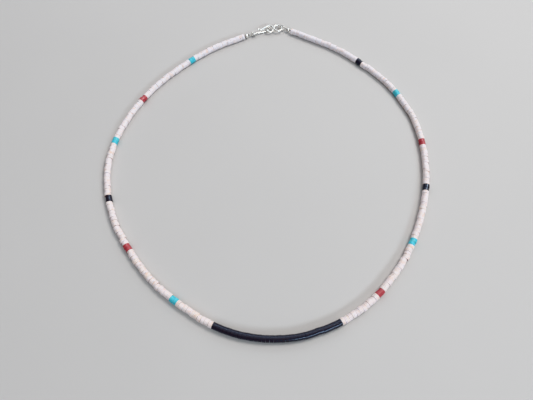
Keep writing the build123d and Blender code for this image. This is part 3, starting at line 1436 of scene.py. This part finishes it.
@dataclass
class Hook:
    """The hook: its shank, bend and turned-out tip, and the small eye that it hangs by."""

    fits: Fits
    length: float = 8.35  # middle of its small eye to the far end of its bend
    gap: float = 2.3  # between the middles of its two legs
    throat: float = 1.2  # the same where the free leg comes nearest the shank
    flare: float = 0.65  # how far the tip turns out again from there
    straight: float = 1.45  # far end of the bend to where the free leg starts to close
    close: float = 4.25  # the same to the throat
    tip: float = 5.8  # the same to the tip
    eye_radius: float = 0.95  # to the middle of its wire
    eye_steps: int = 64

    def build(self, plane: Tilted, finish: bpy.types.Material) -> bpy.types.Object:
        """Make the hook.

        Args:
            plane: its plane, from the middle of its small eye along the shank.
            finish: its material.

        Returns:
            The object.
        """
        wire = self.fits.silver_wire
        corners = [
            (self.eye_radius, 0),
            (self.length, 0),
            (self.length, self.gap),
            (self.length - self.straight, self.gap),
            (self.length - self.close, self.throat),
            (self.length - self.tip, self.throat + self.flare),
        ]
        bend = self.fits.bend_share * self.gap / 2
        path = [plane.point(x, y) for x, y in corners]
        line = rounded_path(path, [bend, bend, wire, wire], self.fits.step)
        ring = np.array([
            plane.point(self.eye_radius * math.cos(t), 0, self.eye_radius * math.sin(t))
            for t in full_turn(self.eye_steps)
        ])
        maker = MeshMaker()
        RoundWire().sweep(maker, line, wire / 2, round_ends=(False, True))
        RoundWire().sweep(maker, ring, wire / 2, closed=True)
        return maker.piece("hook_made", finish, "silver", "hook")


@dataclass
class FigureEightEye:
    """The figure-eight eye, one closed wire that crosses itself."""

    fits: Fits
    left_loop: float = 3.6  # from the crossing to the middle of the end's wire
    right_loop: float = 4.2
    width: float = 5.2  # outside, across either loop
    crossing: float = 1.1  # half the width of the crossing at the loops' full height
    lift: float = 0.22  # how far one wire passes over, and the other under
    roundness: float = 0.58  # arcs at a loop's corners, as a share of its straight length

    def strand(self, plane: Tilted, side: int) -> np.ndarray:
        """Lay one of the two wires between the eye's ends.

        Args:
            plane: the eye's plane, from the crossing.
            side: 1 for the wire that starts above, -1 for the other.

        Returns:
            Points along it.
        """
        left = self.roundness * (self.left_loop - self.crossing)
        right = self.roundness * (self.right_loop - self.crossing)
        y, lift = side * (self.width - self.fits.silver_wire) / 2, side * self.lift
        corners = [
            (-self.left_loop, 0, 0),
            (-self.left_loop, y, 0),
            (-self.crossing, y, lift),
            (self.crossing, -y, lift),
            (self.right_loop, -y, 0),
            (self.right_loop, 0, 0),
        ]
        path = [plane.point(*corner) for corner in corners]
        return rounded_path(path, [left, left, right, right], self.fits.step)

    def build(self, plane: Tilted, finish: bpy.types.Material) -> bpy.types.Object:
        """Make the eye.

        Args:
            plane: its plane, from the crossing along the loops.
            finish: its material.

        Returns:
            The object.
        """
        there, back = self.strand(plane, 1), self.strand(plane, -1)[::-1]
        maker = MeshMaker()
        line = np.concatenate([there[:-1], back[:-1]])
        RoundWire().sweep(maker, line, self.fits.silver_wire / 2, closed=True)
        return maker.piece("figure_eight_eye_made", finish, "silver", "figure_eight_eye")


@dataclass
class Clasp:
    """The hook, the figure-eight eye, the end balls and the coiled end loops."""

    fits: Fits = Fits()
    shank_height: float = 0.47  # axis of the hook's shank where the eye lies on it
    left_reach: float = 3.1  # middle of the left ball to the hook's small eye
    right_reach: float = 3.75  # middle of the right ball to the figure-eight eye
    left_loop_heading: float = 24.0
    hook_heading: float = 20.5
    hook_roll: float = 68.0
    eye_heading: float = 8.0
    right_loop_heading: float = -24.0
    right_loop_roll: float = -65.0

    def hook_plane(self, hook: Hook, ball: np.ndarray) -> Tilted:
        """Place the hook, which slopes down from the left end loop to the surface.

        Args:
            hook: the hook.
            ball: the middle of the left ball.

        Returns:
            The hook's plane.
        """
        drop = ball[2] - self.shank_height
        fall = math.asin(drop / (hook.eye_radius + hook.length - hook.gap / 2))
        axis = heading(self.hook_heading, fall)
        loop_end = ball + heading(self.left_loop_heading) * self.left_reach
        return leaning(loop_end + axis * hook.eye_radius, axis, self.hook_roll)

    def eye_plane(self, eye: FigureEightEye, bend: np.ndarray, loop_height: float) -> Tilted:
        """Place the figure-eight eye, which hangs between the hook and the right end loop.

        Args:
            eye: the eye.
            bend: the middle of the hook's bend, where the eye's left end lies.
            loop_height: the height of the end loops over the surface.

        Returns:
            The eye's plane.
        """
        fall = math.asin((bend[2] - loop_height) / (eye.left_loop + eye.right_loop))
        axis = heading(self.eye_heading, fall)
        return leaning(bend + axis * eye.left_loop, axis, 0)

    def build(self) -> list[bpy.types.Object]:
        """Make the clasp.

        Returns:
            Its pieces.
        """
        fits, hook, eye = self.fits, Hook(self.fits), FigureEightEye(self.fits)
        left, left_radius = ball_of("end_ball_left")
        right, right_radius = ball_of("end_ball_right")
        left_plane = leaning(left, heading(self.left_loop_heading), self.hook_roll)
        right_plane = leaning(right, -heading(self.right_loop_heading), self.right_loop_roll)
        hook_plane = self.hook_plane(hook, left)
        bend = hook_plane.point(hook.length - hook.gap / 2, hook.gap / 2)
        eye_plane = self.eye_plane(eye, bend, left[2])
        near = fits.silver_wire / 2 + fits.fit_gap + fits.guard_diameter / 2
        far = near / abs(right_plane.z @ eye_plane.y)
        left_guard = LoopGuard(
            "loop_guard_left", left_plane, left_radius, self.left_reach, near, fits
        )
        right_guard = LoopGuard(
            "loop_guard_right", right_plane, right_radius, self.right_reach, far, fits
        )
        bright = SilverFinish(Polish.BRIGHT).material()
        coiled = SilverFinish(Polish.COILED).material()
        return [
            EndBall("end_ball_left", self.left_loop_heading, fits).build(bright),
            EndBall("end_ball_right", self.right_loop_heading, fits).build(bright),
            left_guard.build(coiled),
            right_guard.build(coiled),
            hook.build(hook_plane, bright),
            eye.build(eye_plane, bright),
        ]


@dataclass
class BeadingWire:
    """The coated cable through all the beads, which keeps its place in the model."""

    node: str = "beading_wire"
    finish: ThreadFinish = ThreadFinish()

    def dress(self) -> bpy.types.Object:
        """Give the cable its finish.

        Returns:
            The cable.
        """
        cable = frame["nodes"][self.node]
        for material_slot in cable.material_slots:
            material_slot.material = self.finish.material()
        return cable


# Studio


@dataclass(frozen=True)
class SoftLight:
    """A rectangular lamp that faces a point of the necklace."""

    name: str
    place: Point
    aim: Point
    size: Pair
    watts: float
    colour: Colour

    def build(self) -> None:
        """Hang the lamp."""
        lamp = bpy.data.lights.new(self.name, "AREA")
        lamp.shape = "RECTANGLE"
        lamp.size, lamp.size_y = self.size
        lamp.energy = self.watts
        lamp.color = self.colour
        holder = add_object(self.name, lamp)
        holder.location = self.place
        toward = Vector(self.aim) - Vector(self.place)
        holder.rotation_euler = toward.to_track_quat("-Z", "Y").to_euler()


@dataclass
class Studio:
    """Camera at the photograph's angle, a pale surface and soft light."""

    camera_place: Point = (-0.000329, -0.106, 0.1736)
    camera_tilt: float = 26.0
    focal_length: float = 30.39
    sensor: float = 36.0
    clip: Pair = (0.005, 20.0)
    view_transform: str = "Khronos PBR Neutral"  # reaches the turquoise
    floor: FloorFinish = FloorFinish()
    floor_size: float = 4.0
    floor_steps: int = 9
    sky: Colour = (0.92, 0.95, 1.0)
    sky_strength: float = 0.26
    lights: tuple[SoftLight, ...] = (
        SoftLight(
            "key_light", place=(0.72, 0.46, 1.2), aim=(0.0, 0.03, 0.0), size=(0.5, 0.5),
            watts=11.2, colour=(1.0, 0.975, 0.94),
        ),
        SoftLight(
            "ceiling_light", place=(-0.1, 0.15, 1.3), aim=(0.0, 0.0, 0.0), size=(1.4, 1.1),
            watts=2.6, colour=(1.0, 0.985, 0.98),
        ),
        SoftLight(
            "window_light", place=(0.55, -0.86, 0.6), aim=(0.0, -0.05, 0.0), size=(0.7, 0.22),
            watts=6.2, colour=(0.74, 0.88, 1.0),
        ),
        SoftLight(
            "back_light", place=(0.1, 0.75, 0.6), aim=(0.0, 0.08, 0.0), size=(1.6, 0.7),
            watts=4.8, colour=(0.8, 0.9, 1.0),
        ),
    )

    def build_camera(self) -> None:
        """Set up the camera."""
        data = bpy.data.cameras.new("camera")
        data.lens = self.focal_length
        data.sensor_width = self.sensor
        data.clip_start, data.clip_end = self.clip
        camera = add_object("camera", data)
        camera.location = self.camera_place
        camera.rotation_euler = (math.radians(self.camera_tilt), 0.0, 0.0)
        bpy.context.scene.camera = camera
        bpy.context.scene.view_settings.view_transform = self.view_transform

    def build_room(self) -> None:
        """Make the surface, the sky and the lamps."""
        mesh = bpy.data.meshes.new("surface")
        steps = np.linspace(-self.floor_size / 2, self.floor_size / 2, self.floor_steps)
        points = [(x, y, 0.0) for y in steps for x in steps]
        faces = grid_faces(self.floor_steps, self.floor_steps, False, False)
        mesh.from_pydata(points, [], faces.tolist())
        mesh.materials.append(self.floor.material())
        add_object("surface", mesh)
        world = bpy.data.worlds.new("sky")
        world.use_nodes = True
        background = world.node_tree.nodes["Background"]
        background.inputs["Color"].default_value = (*self.sky, 1.0)
        background.inputs["Strength"].default_value = self.sky_strength
        bpy.context.scene.world = world
        for light in self.lights:
            light.build()


def main() -> None:
    """Build the necklace's looks round the model, then the studio."""
    logging.basicConfig(level=logging.INFO, format="%(name)s: %(message)s")
    studio = Studio()
    studio.build_camera()
    for piece in [*BeadString().build(), *Clasp().build(), BeadingWire().dress()]:
        log.info("%s: %d faces", piece.name, len(piece.data.polygons))
    studio.build_room()


if __name__ == "__main__":
    main()
